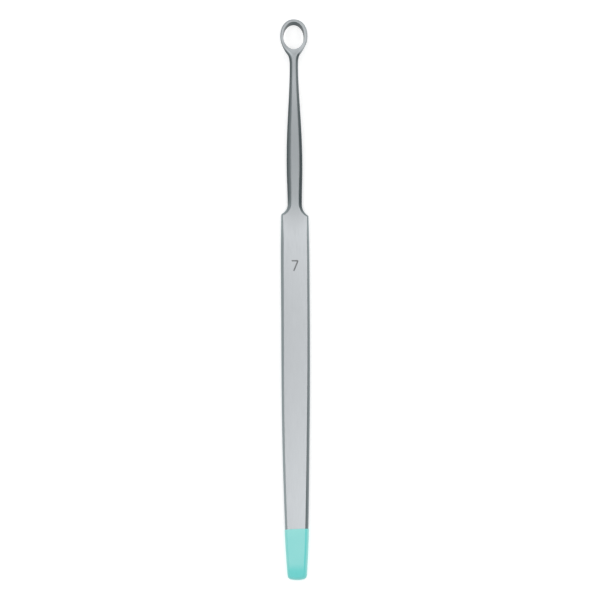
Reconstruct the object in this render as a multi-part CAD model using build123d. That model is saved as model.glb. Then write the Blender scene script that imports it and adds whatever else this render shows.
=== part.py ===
from build123d import *
from build123d.topology import SkipClean

import math
import os

# Ring curette for skin work: a flat bevelled steel handle, a slender shank that rises and narrows to a neck,
# and an oval loop that is bent back so that its cutting edge comes level with the underside of the coated end.
# The instrument lies on its back. X is across, Y runs from the coated end to the loop and Z points up, out of
# the front face. Y starts at the coated end of the steel, and Z at the flat back. Millimetres and degrees.

# Handle, a flat bar with bevelled edges
handle_length = 94.2
handle_width = 7.5
handle_thickness = 2.2
handle_bevel = 0.62
shoulder_width = 7.15
shoulder_taper_length = 14.0
end_taper_length = 60.0
coat_edge_width = 6.08
end_width = 4.54
end_crown = 0.25
end_corner_radius = 0.8
end_bevel_length = 3.4
end_bevel_drop = 0.7

# Shoulder, where the handle draws in to the shank
shoulder_radius = 3.0
shoulder_corner_radius = 0.35
waist_width = 3.88

# Shank, which swells a little and then narrows to the neck
waist_to_belly = 10.1
belly_width = 4.29
belly_thickness = 2.0
belly_edge_width = 0.95
belly_edge_height = 0.8
waist_to_neck = 36.1
neck_width = 2.22
neck_thickness = 1.5
neck_edge_width = 0.62
neck_edge_height = 0.52
neck_skew = 0.88
shank_sections = 10

# Loop, with a blunt rim in front and a sharp edge behind
loop_width = 7.1
loop_length = 9.78
loop_depth = 2.0
loop_tilt = 17.0
hole_width = 5.3
hole_length = 7.5
hole_setover = 0.4
rim_bevel_width = 0.3
rim_bevel_height = 0.2
edge_thickness = 0.12
bend_radius = 10.0
bend_to_loop = 4.8

# Web, which widens from the neck to the flanks of the loop. Each pair is a share of the way there
# and the share of the widening that is reached at it.
flank_to_centre = 1.8
flank_overlap = 0.1
web_skim = 0.05
web_shape = [(0.28, 0.07), (0.46, 0.265), (0.64, 0.59), (0.82, 0.85), (1.0, 1.0)]

# Colour coat over the end of the handle
coat_length = 13.2
coat_thickness = 0.12

# How far the middle of an eased edge lies in from its corner, as a share of its width and height
bevel_bulge = 0.49
round_bulge = 1 - math.sqrt(0.5)

tilt = math.radians(loop_tilt)
shoulder_inset = (shoulder_width - waist_width) / 2
waist_y = handle_length + math.sqrt(shoulder_radius**2 - (shoulder_radius - shoulder_inset) ** 2)
neck_y = waist_y + waist_to_neck
bend_length = bend_radius * tilt
edge_reach = hole_setover + hole_length / 2 + edge_thickness
neck_height = (
    bend_radius * (1 - math.cos(tilt))
    + (bend_to_loop + edge_reach) * math.sin(tilt)
    + loop_depth * math.cos(tilt)
    - coat_thickness
)


def ease(share):
    """Goes from 0 to 1 with a level start and end."""
    return share * share * (3 - 2 * share)


def between(start, end, share):
    return start + (end - start) * share


def mirrored_face(right):
    """Closes a right-hand outline with its mirror image."""
    line = Curve() + right
    return make_face(line + mirror(line, Plane.YZ))


def bar_outline(skin):
    """The handle seen from the front, with its sides and end moved out by the skin."""
    end = Vector(end_width / 2 + skin, end_crown - skin)
    coat_edge = Vector(coat_edge_width / 2 + skin, coat_length)
    belly_start = Vector(handle_width / 2 + skin, end_taper_length)
    belly_end = Vector(handle_width / 2 + skin, handle_length - shoulder_taper_length)
    shoulder = Vector(shoulder_width / 2 + skin, handle_length)
    waist = Vector(waist_width / 2 + skin, waist_y)
    long_taper = TangentArc(belly_start, coat_edge, tangent=(0, -1))
    outline = mirrored_face(
        [
            ThreePointArc((-end.X, end.Y), (0, -skin), (end.X, end.Y)).trim(0.5, 1),
            TangentArc(coat_edge, end, tangent=long_taper % 1),
            long_taper,
            Line(belly_start, belly_end),
            TangentArc(belly_end, shoulder, tangent=(0, 1)),
            RadiusArc(shoulder, waist, shoulder_radius),
            Line(waist, (0, waist_y)),
        ]
    )
    end_corners = outline.vertices().filter_by_position(Axis.Y, -1, end.Y + 0.01)
    outline = fillet(end_corners, end_corner_radius + skin)
    return outline


def bar_side(skin):
    """The handle seen from the side: flat back, flat front that curves down over the end."""
    top = handle_thickness + skin
    end_top = Vector(-skin, top - end_bevel_drop)
    curve_start = Vector(end_bevel_length, top)
    right = waist_y
    side = make_face(
        [
            TangentArc(curve_start, end_top, tangent=(-1, 0)),
            Line(end_top, (-skin, -skin)),
            Line((-skin, -skin), (right, -skin)),
            Line((right, -skin), (right, top)),
            Line((right, top), curve_start),
        ]
    )
    return Plane.YZ * side


def bar(skin):
    """The handle with its front and back edges bevelled and its shoulder corners eased."""
    height = handle_thickness + 2 * skin
    blank = Pos(Z=-skin) * extrude(bar_outline(skin), height)
    blank = blank & extrude(bar_side(skin), handle_width, both=True)
    rims = blank.edges() - blank.edges().filter_by(Axis.Z) - blank.edges().filter_by(Axis.X)
    bevelled = chamfer(rims, handle_bevel + (2 - math.sqrt(2)) * skin)
    near_corner = (Axis.Y, handle_length - handle_bevel, handle_length + handle_bevel)
    corner = bevelled.edges().filter_by_position(*near_corner).filter_by(GeomType.LINE)
    return fillet(corner, shoulder_corner_radius).solid()


def section(place, half_width, thickness, top_edge, bottom_edge, roundness):
    """A closed section of the shank: a flat front and back, upright sides and four eased edges.

    Each edge is a width and a height. Roundness goes from nearly a straight bevel at 0 to a round at 1.
    """
    top_width, top_height = top_edge
    bottom_width, bottom_height = bottom_edge
    top_flat = half_width - top_width
    bottom_flat = half_width - bottom_width
    bulge = between(bevel_bulge, round_bulge, roundness)
    right = [
        Line((0, 0), (top_flat, 0)),
        ThreePointArc(
            (top_flat, 0),
            (half_width - bulge * top_width, -bulge * top_height),
            (half_width, -top_height),
        ),
        Line((half_width, -top_height), (half_width, bottom_height - thickness)),
        ThreePointArc(
            (half_width, bottom_height - thickness),
            (half_width - bulge * bottom_width, bulge * bottom_height - thickness),
            (bottom_flat, -thickness),
        ),
        Line((bottom_flat, -thickness), (0, -thickness)),
    ]
    return place * mirrored_face(right)


def cross_plane(y, z, climb):
    """A plane across the shank, X to the right and its own Y out of the front face."""
    return Plane(origin=(0, y, z), x_dir=(1, 0, 0), z_dir=(0, -math.cos(climb), -math.sin(climb)))


def shank_section(share):
    """A section of the shank at a share of the way from the waist to the neck."""
    rise = neck_height - handle_thickness
    climb = math.atan(rise * 6 * share * (1 - share) / waist_to_neck)
    height = between(handle_thickness, neck_height, ease(share))
    along = share * waist_to_neck
    swell = ease(min(along / waist_to_belly, 1))
    narrowing = max(along - waist_to_belly, 0) / (waist_to_neck - waist_to_belly)
    narrowing = ease(narrowing**neck_skew)

    def size(at_waist, at_belly, at_neck):
        return between(between(at_waist, at_belly, swell), at_neck, narrowing)

    edge = (
        size(handle_bevel, belly_edge_width, neck_edge_width),
        size(handle_bevel, belly_edge_height, neck_edge_height),
    )
    half_width = size(waist_width, belly_width, neck_width) / 2
    thickness = size(handle_thickness, belly_thickness, neck_thickness)
    return section(cross_plane(waist_y + along, height, climb), half_width, thickness, edge, edge, swell)


def bend_place(distance):
    """The plane across the shank at a distance past the neck, round the bend and down the loop's slope."""
    turned = min(distance, bend_length) / bend_radius
    straight = max(distance - bend_length, 0)
    y = neck_y + bend_radius * math.sin(turned) + straight * math.cos(turned)
    z = neck_height - bend_radius * (1 - math.cos(turned)) - straight * math.sin(turned)
    return y, z, -turned


def web_section(share, widening):
    """A section of the web between the neck and the flanks of the loop."""
    y, z, climb = bend_place(share * (bend_length + bend_to_loop - flank_to_centre))
    flank = loop_width / 2 * math.sqrt(1 - (2 * flank_to_centre / loop_length) ** 2) - flank_overlap
    half_width = between(neck_width / 2, flank, widening)
    thickness = between(neck_thickness, loop_depth - web_skim, ease(share))
    top_edge = (
        between(neck_edge_width, rim_bevel_width, ease(share)),
        between(neck_edge_height, rim_bevel_height, ease(share)),
    )
    bottom_edge = (
        between(neck_edge_width, (loop_width - hole_width) / 2 - edge_thickness, ease(share)),
        between(neck_edge_height, loop_depth - 2 * rim_bevel_height, ease(share)),
    )
    place = cross_plane(y, z, climb) * Pos(Y=web_skim * ease(share))
    return section(place, half_width, thickness, top_edge, bottom_edge, 1)


def shank():
    """Shank, neck and web as one smooth form through its cross-sections."""
    sections = [shank_section(step / shank_sections) for step in range(shank_sections + 1)]
    sections += [web_section(share, widening) for share, widening in web_shape]
    return loft(sections)


def loop_plane():
    """The plane of the loop's front rim, with its origin at the loop's centre and its own Y to the tip."""
    y, z, climb = bend_place(bend_length + bend_to_loop)
    return Plane(origin=(0, y, z), x_dir=(1, 0, 0), z_dir=(0, -math.sin(climb), math.cos(climb)))


def oval(width, length, setover, depth):
    """The outline of an oval at a depth behind the front rim."""
    return Pos(Y=setover, Z=-depth) * Ellipse(width / 2, length / 2).wire()


def loop_wall():
    """The loop before its hole: a rim with a small bevel, then a wall that slants in to the sharp edge."""
    rings = [
        oval(loop_width - 2 * rim_bevel_width, loop_length - 2 * rim_bevel_width, 0, 0),
        oval(loop_width, loop_length, 0, rim_bevel_height),
        oval(hole_width + 2 * edge_thickness, hole_length + 2 * edge_thickness, hole_setover, loop_depth),
    ]
    return loop_plane() * Solid.make_loft(rings, ruled=True)


def loop_hole():
    clear = loop_depth
    hole = Pos(Y=hole_setover, Z=-loop_depth - clear) * Ellipse(hole_width / 2, hole_length / 2)
    return loop_plane() * extrude(hole, loop_depth + 2 * clear)


def above_loop():
    """Everything in front of the loop's rim plane, from the bend on."""
    block = Box(2 * loop_width, 2 * loop_length, loop_depth, align=(Align.CENTER, Align.CENTER, Align.MIN))
    return loop_plane() * block


def end_block():
    """The space that holds the coated end of the bar."""
    margin = handle_width
    size = (handle_width + 2 * margin, coat_length + margin, handle_thickness + 2 * margin)
    return Pos(Y=coat_length) * Box(*size, align=(Align.CENTER, Align.MAX, Align.CENTER))


def curette_body(steel_bar):
    """The steel: bar, shank and loop in one. The bar's faces are parted where the coat stops."""
    head = shank() - above_loop() + loop_wall() - loop_hole()
    coated = steel_bar & end_block()
    bare = steel_bar - end_block()
    with SkipClean():
        steel = bare.solid().fuse(coated.solid(), head.solid())
    return steel


def end_coat(steel_bar):
    """The coat: the bar's end grown by the coat's thickness, less the steel inside it."""
    grown = bar(coat_thickness) & end_block()
    return grown - steel_bar


def main():
    steel_bar = bar(0)
    nodes = {"curette_body": curette_body(steel_bar), "end_coat": end_coat(steel_bar)}
    box = Compound([node.solid() for node in nodes.values()]).bounding_box()
    to_origin = Pos(-box.center().X, -box.center().Y, -box.min.Z)
    os.makedirs("parts", exist_ok=True)
    for name, node in nodes.items():
        placed = to_origin * node
        export_step(placed, f"parts/{name}.step")
        print(name, "volume", round(placed.volume, 2), "box", placed.bounding_box())
    print("moved by", to_origin.position)


main()
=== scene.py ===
"""Looks of a ring curette: satin steel body, coloured end coat, etched size figure and a plain stage."""

import math

import bpy
import numpy as np
from bpy.props import FloatProperty, FloatVectorProperty, PointerProperty
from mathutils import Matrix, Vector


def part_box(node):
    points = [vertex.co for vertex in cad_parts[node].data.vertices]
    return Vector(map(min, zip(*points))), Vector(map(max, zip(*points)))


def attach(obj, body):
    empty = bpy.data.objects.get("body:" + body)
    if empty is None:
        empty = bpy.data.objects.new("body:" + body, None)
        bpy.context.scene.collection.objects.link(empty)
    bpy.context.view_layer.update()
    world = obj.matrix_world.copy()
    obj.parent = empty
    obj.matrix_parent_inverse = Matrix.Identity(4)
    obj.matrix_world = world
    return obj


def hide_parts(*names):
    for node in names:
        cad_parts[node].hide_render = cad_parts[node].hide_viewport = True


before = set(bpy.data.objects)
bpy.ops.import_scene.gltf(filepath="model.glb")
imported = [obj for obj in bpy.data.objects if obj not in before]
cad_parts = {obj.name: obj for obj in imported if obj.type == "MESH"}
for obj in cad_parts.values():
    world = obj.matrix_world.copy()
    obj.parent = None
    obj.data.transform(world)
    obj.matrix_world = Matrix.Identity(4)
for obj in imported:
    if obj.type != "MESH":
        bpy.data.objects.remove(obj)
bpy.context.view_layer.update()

bl_info = {
    "name": "Ring Curette",
    "version": (1, 0, 0),
    "blender": (4, 5, 0),
    "location": "3D View > Sidebar > Curette",
    "description": "Builds a ring curette with a coated handle end, and a studio stage around it",
    "category": "Add Mesh",
}

MM = 0.001
ROOT = "root"
COAT_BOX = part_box("end_coat")

# Places along the steel, from the coated end
FAN_CENTRE = 1.9 * MM  # where the rows of the round end meet in the middle
FAN_END = 6 * MM  # from here on the rows run straight across
CLOSE_ROWS = 86 * MM  # from here to the shoulder the rows stand closer
SLIM_START = 85 * MM  # from here the front's bevels narrow towards the shoulder
SHOULDER_FAN = (90 * MM, 100 * MM)  # between these the rows follow the shoulder's curve
BEVEL_RUN = (2 * MM, 90 * MM)  # between these the long bevels go over to their upper width
BOW_LENGTH = 68 * MM  # length of the handle that is bowed

# Places and half widths of the web past the neck, and places before the loop's centre
WEB_PLACES = (1.1 * MM, 1.8 * MM, 2.64 * MM, 3.73 * MM)
WEB_HALVES = (1.13 * MM, 1.22 * MM, 1.46 * MM, 2.2 * MM)
WEB_TO_CENTRE = 1.8 * MM  # the web has the loop's depth from here on
LOOP_JOIN = 2.9 * MM  # the web's outline meets the loop's oval here
CROTCH_ROW = 4.3 * MM  # the rows start to go round the hole here
SWAY_START, SWAY_SOFTNESS = 3 * MM, 2 * MM  # where past the neck the loop starts to lean, how softly
TURN_AFTER = 2 * MM  # how far the twist goes on past the bend

# Changes along the steel: where each starts, from its mark, and the length over which it comes
RIM_CHANGE = (1.5 * MM, 3.5 * MM)  # from the neck's eased edge to the rim's bevel
SHANK_FLANK_CHANGE = (0.0, 2.6 * MM)  # from the handle's flanks to the shank's, past the shoulder
SHANK_SHADE_CHANGE = (-7 * MM, 13 * MM)  # to the shank's painted shade, about the shoulder
NECK_LIGHT_CHANGE = (-5 * MM, 5 * MM)  # to the neck's painted light, before the neck
LOOP_LIGHT_CHANGE = (1.4 * MM, 3.2 * MM)  # to the loop's painted light, past the neck
SHADE_DIP_OVERRUN = 25 * MM  # the handle's painted shade in its middle is laid out to this far past the shoulder
WAIST_STOP, WEB_STOP = 2.5 * MM, 3.6 * MM  # past the waist and the neck, where shares of the painted flank shade are given
SLANT_REACH = 6 * MM  # how far from the shoulder its slant is felt
HANG_REACH = 4 * MM  # how far from the coat's edge its hang is felt

# Turns round the hole, from its near end
LOOP_TURN = math.radians(48)  # where the loop's own outline starts
LEAN_TURN = math.radians(50)  # where the walls have their whole lean
WALL_TURNS = (math.radians(8), math.radians(70))  # between these the web's back goes over to the wall

# Small roundings and lands
CRISP = 0.07 * MM  # reach of the rounding of the handle's edges and of the hole's front edge
RIM_EASING = 0.1 * MM
WEB_EASING = 0.25 * MM
SHARP_EASING = 0.03 * MM
RIM_SIDE = 0.08 * MM  # how far the rim's upright side goes on under its bevel
WEB_BACK_EDGE = (0.6 * MM, 1.1 * MM)  # width and height of the eased edge behind the web
WAIST_ROUNDING = 0.55  # how much of the shank's rounding the edges have at the waist

# Shares of an edge's width that give a rounded edge its own sizes, in front and behind
FRONT_WIDTH, FRONT_DROP = 0.9, 0.78
BACK_WIDTH, BACK_WIDTH_IN_WEB, BACK_RISE, BACK_EASING = 0.62, 0.75, 0.56, 0.42

# The outline's runs but the last, and the rows along them
END, SIDE, SHOULDER, SHANK, WEB = range(5)
CROWN_ROWS, END_CORNER_ROWS = 12, 12
LOW_ROWS, HANDLE_ROWS, HIGH_ROWS = 10, 60, 14
CORNER_ROWS, HOLLOW_ROWS = 9, 26
SHANK_ROWS, WEB_ROWS, LOOP_ROWS = 64, 26, 60
COAT_ROWS = 34

# Columns of an eased corner, and where the straights between are divided: front face, bevel, side,
# lower bevel and back
EASE_COLUMNS = 5
FACE_SHARES = (0.0, 0.25, 0.5, 0.72, 0.88, 0.97)
BEVEL_SHARES = (0.12, 0.5, 0.88)
SIDE_SHARES = (0.1, 0.5, 0.9)
BACK_SHARES = (0.03, 0.12, 0.28, 0.5, 0.75)
STRAIGHTS = (FACE_SHARES, BEVEL_SHARES, SIDE_SHARES, BEVEL_SHARES, BACK_SHARES)
WALL_SHARES = (0.05, 0.3, 0.6, 0.9)
# The column at the middle of the corner between bevel and side, which lies beside the outline
SIDE_COLUMN = len(FACE_SHARES) + EASE_COLUMNS + len(BEVEL_SHARES) + EASE_COLUMNS // 2

# The middle part of what a noise gives, narrow and wide
NOISE_MIDDLE = (0.3, 0.7)
NOISE_WIDE = (0.25, 0.75)


def a_length(name, description, default):
    return FloatProperty(name=name, description=description, default=default, unit="LENGTH", precision=5)


def a_number(name, description, default, **limits):
    return FloatProperty(name=name, description=description, default=default, **limits)


def a_share(name, description, default):
    return a_number(name, description, default, min=0.0, max=1.0, subtype="FACTOR")


def an_angle(name, description, degrees):
    return a_number(name, description, math.radians(degrees), subtype="ANGLE")


def several(name, description, default, **limits):
    count = len(default)
    return FloatVectorProperty(name=name, description=description, default=default, size=count, **limits)


def a_colour(name, description, default):
    return several(name, description, default, min=0.0, max=1.0, subtype="COLOR")


def a_pair(name, description, left, right):
    return several(name, description + ", left and right", (left, right), precision=5)


def flank_shade_shares(name, default):
    """Shares of the painted flank shade along one side, between which the steel goes over evenly."""
    places = "Share of the flank colour at the coat, mid handle, shoulder, waist, neck and web"
    return several(name, places, default)


class SteelSizes(bpy.types.PropertyGroup):
    """Sizes of the one-piece steel body. Lengths along it start at the coated end."""

    handle_length: a_length("Handle length", "From the end to the shoulder corners", 94.36 * MM)
    handle_width: a_length("Handle width", "Across the widest part of the handle", 7.43 * MM)
    handle_thickness: a_length("Handle thickness", "Front face to flat back", 2.2 * MM)
    handle_bevel: a_length("Handle bevel", "How far the long bevels fall", 0.6 * MM)
    coat_bevel: a_pair("Bevel at coat", "Width of the long bevels at the coat", 0.57 * MM, 0.88 * MM)
    high_bevel: a_pair("Bevel near shoulder", "Width of the long bevels at the top", 0.78 * MM, 0.58 * MM)
    shoulder_width: a_length("Shoulder width", "Across the shoulder corners", 7.05 * MM)
    shoulder_taper: a_length("Shoulder taper", "Length that narrows to the shoulder", 14.0 * MM)
    end_taper: a_length("End taper", "Length that narrows to the coated end", 60.0 * MM)
    handle_bow: a_length("Handle bow", "How far the handle's lower half bows to the left", 0.1 * MM)
    coat_edge_width: a_length("Width at coat", "Across the steel at the coat's edge", 6.05 * MM)
    coat_length: a_length("Coat length", "Length of the handle under the coat", 13.2 * MM)
    end_width: a_length("End width", "Across the end before its corners are rounded", 4.64 * MM)
    end_crown: a_length("End crown", "How far the end bows out", 0.37 * MM)
    end_corner: a_length("End corner", "Radius of the end's corners", 1.0 * MM)
    end_slope: a_length("End slope length", "Length of the front's curve down at the end", 3.4 * MM)
    end_drop: a_length("End slope drop", "How far the front falls at the end", 0.7 * MM)
    shoulder_radius: a_length("Shoulder hollow", "Radius of the hollow shoulder", 3.0 * MM)
    shoulder_corner: a_length("Shoulder corner", "Radius of the shoulder corners", 0.45 * MM)
    shoulder_bevel: a_pair("Shoulder bevel", "Bevel width at the shoulder corners", 0.42 * MM, 0.37 * MM)
    shoulder_slant: a_length("Shoulder slant", "How far the left shoulder stands over the middle", 0.24 * MM)
    waist_width: a_length("Waist width", "Across the shank at the shoulder", 3.7 * MM)
    waist_edge: a_pair("Waist edge", "Width of the eased edges at the waist", 1.0 * MM, 0.85 * MM)
    waist_to_belly: a_length("Waist to belly", "Length in which the shank swells", 10.1 * MM)
    belly_width: a_length("Belly width", "Across the shank at its widest", 4.1 * MM)
    belly_thickness: a_length("Belly thickness", "Thickness of the shank at its widest", 2.0 * MM)
    belly_edge: a_pair("Belly edge", "Width of the eased edges at the belly", 1.2 * MM, 0.88 * MM)
    waist_to_neck: a_length("Waist to neck", "Length of the shank", 35.95 * MM)
    neck_width: a_length("Neck width", "Across the neck", 2.17 * MM)
    neck_thickness: a_length("Neck thickness", "Thickness of the neck", 1.5 * MM)
    neck_edge: a_pair("Neck edge", "Width of the eased edges at the neck", 0.75 * MM, 0.68 * MM)
    edge_softness: a_pair("Edge softness", "Share of the eased edges that is rounded", 0.55, 0.3)
    loop_width: a_length("Loop width", "Across the outside of the loop", 7.06 * MM)
    loop_length: a_length("Loop length", "Along the loop's outside, twice its near half", 9.78 * MM)
    far_length: a_length("Far half", "From the loop's centre to its far end", 4.72 * MM)
    far_squareness: a_number("Far squareness", "Power of the far half's oval: above 2 is squarer", 2.18)
    loop_depth: a_length("Loop depth", "From the blunt rim to the sharp edge", 2.0 * MM)
    hole_half: a_pair("Hole half width", "From the loop's middle line to its hole's side", 2.8 * MM, 2.7 * MM)
    hole_length: a_length("Hole length", "Along the loop's hole at the blunt rim", 7.55 * MM)
    hole_setover: a_length("Hole set-over", "How far the hole lies towards the tip", 0.19 * MM)
    wall_lean: a_length("Wall lean", "How far the hole's far wall leans in behind", 0.2 * MM)
    side_lean: a_pair("Side lean", "How far the hole's sides lean in behind", 0.2 * MM, 0.1 * MM)
    rim_bevel: a_length("Rim bevel", "Width of the bevel round the blunt rim", 0.3 * MM)
    rim_drop: a_length("Rim bevel drop", "Depth of the bevel round the blunt rim", 0.2 * MM)
    edge_thickness: a_length("Edge thickness", "Thickness of the loop's sharp edge", 0.12 * MM)
    bend_radius: a_length("Bend radius", "Radius of the bend at the neck", 10.0 * MM)
    bend_to_loop: a_length("Bend to loop", "From the bend's end to the loop's centre", 4.8 * MM)
    loop_tilt: an_angle("Loop tilt", "How far the loop is bent back", 17)
    loop_twist: an_angle("Loop twist", "How far the loop is turned about the shank", 4)
    twist_lift: a_length("Twist lift", "How far the twisted loop is raised", 0.018 * MM)
    loop_sway: an_angle("Loop sway", "How far the loop leans to the right", 1.2)
    narrowing_skew: a_number("Narrowing skew", "Above 1 keeps the shank wide for longer", 1.12)


class CoatSizes(bpy.types.PropertyGroup):
    """Sizes and colour of the coat over the handle's end, with painted shade along its long bevels and
    painted light on its sides.
    """

    thickness: a_length("Coat thickness", "Thickness of the dried coat", 0.12 * MM)
    edge_slant: a_length("Edge slant", "How far the coat's edge runs out of square", 0.2 * MM)
    edge_hang: a_length("Edge hang", "How far the coat's edge hangs back at the sides", 0.14 * MM)
    # Painted shade along the coat's long bevels, left and right
    bevel_painted_shade: a_pair("Bevel tone", "How deep the colour is on the long bevels", 0.28, 1.0)
    lip: a_length("Lip", "Length over which the coat comes down to the steel", 0.2 * MM)
    easing: a_length("Easing", "Reach of the rounding along the coat's edges", 0.16 * MM)
    colour: a_colour("Coat colour", "Colour of the coat", (0.29, 0.762, 0.732))
    deep_colour: a_colour("Deep colour", "Colour where the coat has gathered at the end", (0.165, 0.72, 0.69))
    # Painted shade along the coat's long bevels
    bevel_shade_colour: a_colour("Stripe colour", "Colour along the long bevels", (0.115, 0.7, 0.672))
    # Also gives the painted light on the coat's sides
    thin_colour: a_colour("Thin colour", "Colour where the coat is thin", (0.4, 0.86, 0.8))
    pale_length: a_length("Pale length", "Length beside the steel where the coat is thinner", 3.0 * MM)
    gathered: a_length("Gathered length", "Length of the end where the coat has gathered", 4.6 * MM)


class FigureSizes(bpy.types.PropertyGroup):
    """Sizes and place of the etched size figure, which gives the loop's width in millimetres."""

    height: a_length("Figure height", "Height of the figure", 2.5 * MM)
    width: a_length("Figure width", "Width of the figure", 1.45 * MM)
    stroke: a_length("Stroke width", "Width of the etched line", 0.36 * MM)
    relief: a_length("Relief", "How far the etched oxide stands over the face", 0.004 * MM)
    place: a_length("Place", "The figure's middle, from the middle of the instrument", 8.76 * MM)
    colour: a_colour("Figure colour", "Colour of the etched oxide", (0.2, 0.21, 0.215))


class SteelFinish(bpy.types.PropertyGroup):
    """Finish of the steel, and the painted light and shade laid into its colour."""

    face: a_colour("Face colour", "Colour of the satin faces", (0.508, 0.53, 0.549))
    # Painted light and shade: these darken the handle's middle, the shank and the neck, lighten the right
    # edge and the loop's rim, and darken the rim towards its ends and in its near left quarter
    handle_painted_shade: a_share("Handle dip", "How much darker the handle's middle is", 0.23)
    neck_painted_light: a_share("Neck tone", "Brightness of the neck's front against the handle's", 0.55)
    shank_painted_light: a_share("Shank tone", "Brightness of the shank's front against the handle's", 0.615)
    right_painted_light: a_share("Cross tone", "How much brighter the handle's right edge is", 0.035)
    painted_shade_lag: a_length("Shoulder lag", "How much later the darker shank starts at the sides", 3.5 * MM)
    loop_painted_light: a_number("Loop tone", "Brightness of the loop's rim against the handle's", 1.07)
    near_painted_shade: a_share("Near dullness", "How much duller the rim is beside the neck", 0.04)
    far_painted_shade: a_share("Far dullness", "How much duller the rim is at the tip", 0.14)
    left_painted_shade: a_share("Left dullness", "How much duller the rim is in its near left quarter", 0.28)
    ground_tint: a_colour("Ground tint", "Multiplies the face colour where it is ground", (0.9, 1.0, 1.0))
    rim_ground: a_share("Rim tint", "How much of the ground tint the rim's sides have", 0.35)
    shank_ground: a_share("Shank tint", "How much of the ground tint the shank's front has", 0.22)
    # Painted shade: the flank colour and the shares below darken the bevels, the flanks and the wall inside
    # the loop
    flank_shade: a_colour("Flank colour", "Colour of the ground flanks and bevels", (0.045, 0.066, 0.071))
    left_flank_shade: flank_shade_shares("Left flank", (0.41, 0.03, 0.2, 0.92, 0.78, 0.84))
    right_flank_shade: flank_shade_shares("Right flank", (0.69, 0.49, 0.52, 1.22, 0.42, 1.1))
    rim_flank_shade: a_pair("Rim flank", "Share of the flank colour left round the loop", 0.5, 0.15)
    bevel_outside: a_pair("Bevel outside", "Share of the flank colour at a bevel's outer side", 0.85, 0.5)
    shank_inside: a_pair("Shank inside", "Share of the flank colour at a shank edge's inner side", 0.47, 0.85)
    web_start: a_pair("Web start", "From the neck to where the flank gets lighter", 2.1 * MM, 2.4 * MM)
    web_fade: a_pair("Web fade", "Length over which the flank gets lighter", 3.0 * MM, 1.0 * MM)
    # Painted shade: the dark colour of the wall inside the loop's hole
    hole: a_colour("Hole colour", "Colour of the wall inside the loop", (0.032, 0.05, 0.056))
    edge: a_colour("Edge colour", "Colour of the worn edges", (0.72, 0.73, 0.735))
    edge_shine: a_share("Edge shine", "How much the worn edges show", 0.35)
    shank_wear: a_share("Shank wear", "Wear of the shank's edges against the handle's", 0.25)
    roughness: a_share("Roughness", "Roughness of the satin faces", 0.36)
    grain_depth: a_length("Grain depth", "Depth of the drawn grain", 0.004 * MM)


class StageSizes(bpy.types.PropertyGroup):
    """Camera, lamps and floor."""

    view_height: a_length("View height", "Height of the picture at the object", 155.47 * MM)
    camera_height: a_length("Camera height", "Height of the camera", 0.86)
    camera_roll: an_angle("Camera roll", "Turn of the picture", -0.38)
    aim_x: a_length("Aim X", "What the picture's middle shows, across", 0.026 * MM)
    aim_y: a_length("Aim Y", "What the picture's middle shows, along", -0.13 * MM)
    floor_radius: a_length("Floor radius", "Radius of the pale floor", 3.0)
    floor_gap: a_length("Floor gap", "How far the floor lies under the object's lowest point", 0.02 * MM)
    floor_colour: a_colour("Floor colour", "Colour of the floor", (0.93, 0.93, 0.93))
    lamp_height: a_length("Lamp height", "Height of the overhead soft light", 1.4)
    lamp_width: a_length("Lamp width", "Width of the overhead soft light", 2.6)
    lamp_depth: a_length("Lamp depth", "Depth of the overhead soft light", 1.3)
    lamp_shift: a_length("Lamp shift", "How far the soft light lies towards the loop", 0.4)
    lamp_level: a_number("Lamp level", "Brightness of the overhead light", 1.12)
    world_level: a_share("World level", "Brightness of the grey surroundings", 0.58)
    white_lift: a_share("White lift", "What the floor shows above its own lit colour", 0.34)


class CuretteSettings(bpy.types.PropertyGroup):
    """All settings of the curette and its stage."""

    steel: PointerProperty(type=SteelSizes, name="Steel sizes", description="Sizes of the steel body")
    coat: PointerProperty(type=CoatSizes, name="Coat", description="Sizes and colour of the coat")
    figure: PointerProperty(type=FigureSizes, name="Size figure", description="The etched size figure")
    finish: PointerProperty(type=SteelFinish, name="Steel finish", description="Finish of the steel")
    stage: PointerProperty(type=StageSizes, name="Stage", description="Camera, lamps and floor")


# Curves and surfaces


def ease(share):
    """Goes from 0 to 1 with a level start and end: three squares less two cubes of the share."""
    share = np.clip(share, 0, 1)
    return share * share * (3 - 2 * share)


def between(start, end, share):
    """A straight mix of two values or arrays."""
    return start + (end - start) * share


def through_points(x, xs, ys, first_slope, last_slope):
    """A smooth curve through a few points: a cubic between each two, whose inner slopes are
    those of the line between a point's two neighbours."""
    xs, ys = np.array(xs), np.array(ys)
    slopes = np.concatenate([[first_slope], (ys[2:] - ys[:-2]) / (xs[2:] - xs[:-2]), [last_slope]])
    piece = np.clip(np.searchsorted(xs, x) - 1, 0, len(xs) - 2)
    width = xs[piece + 1] - xs[piece]
    t = (x - xs[piece]) / width
    ends = ys[piece] * (1 + 2 * t) * (1 - t) ** 2 + ys[piece + 1] * t * t * (3 - 2 * t)
    bends = slopes[piece] * t * (1 - t) ** 2 - slopes[piece + 1] * t * t * (1 - t)
    return ends + bends * width


def arc_sag(radius, distance):
    """How far a circle has left its tangent at a distance along the tangent."""
    return radius - np.sqrt(np.maximum(radius**2 - distance**2, 0))


def coming(v, mark, change):
    """How far a change along the steel has come. It starts at a distance from the mark."""
    start, run = change
    return ease((v - mark - start) / run)


def unit(vectors):
    """Vectors of length one in the same directions. One without a length stays so."""
    least = 1e-12
    return vectors / np.maximum(np.linalg.norm(vectors, axis=-1, keepdims=True), least)


def tangents(points):
    """Directions along a line of points, from its differences over its own length."""
    return unit(np.gradient(points, path_length(points), axis=0))


def path_length(points):
    """Length of a line of points from its first point to each one."""
    steps = np.linalg.norm(np.diff(points, axis=0), axis=1)
    return np.concatenate([[0.0], np.cumsum(steps)])


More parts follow.
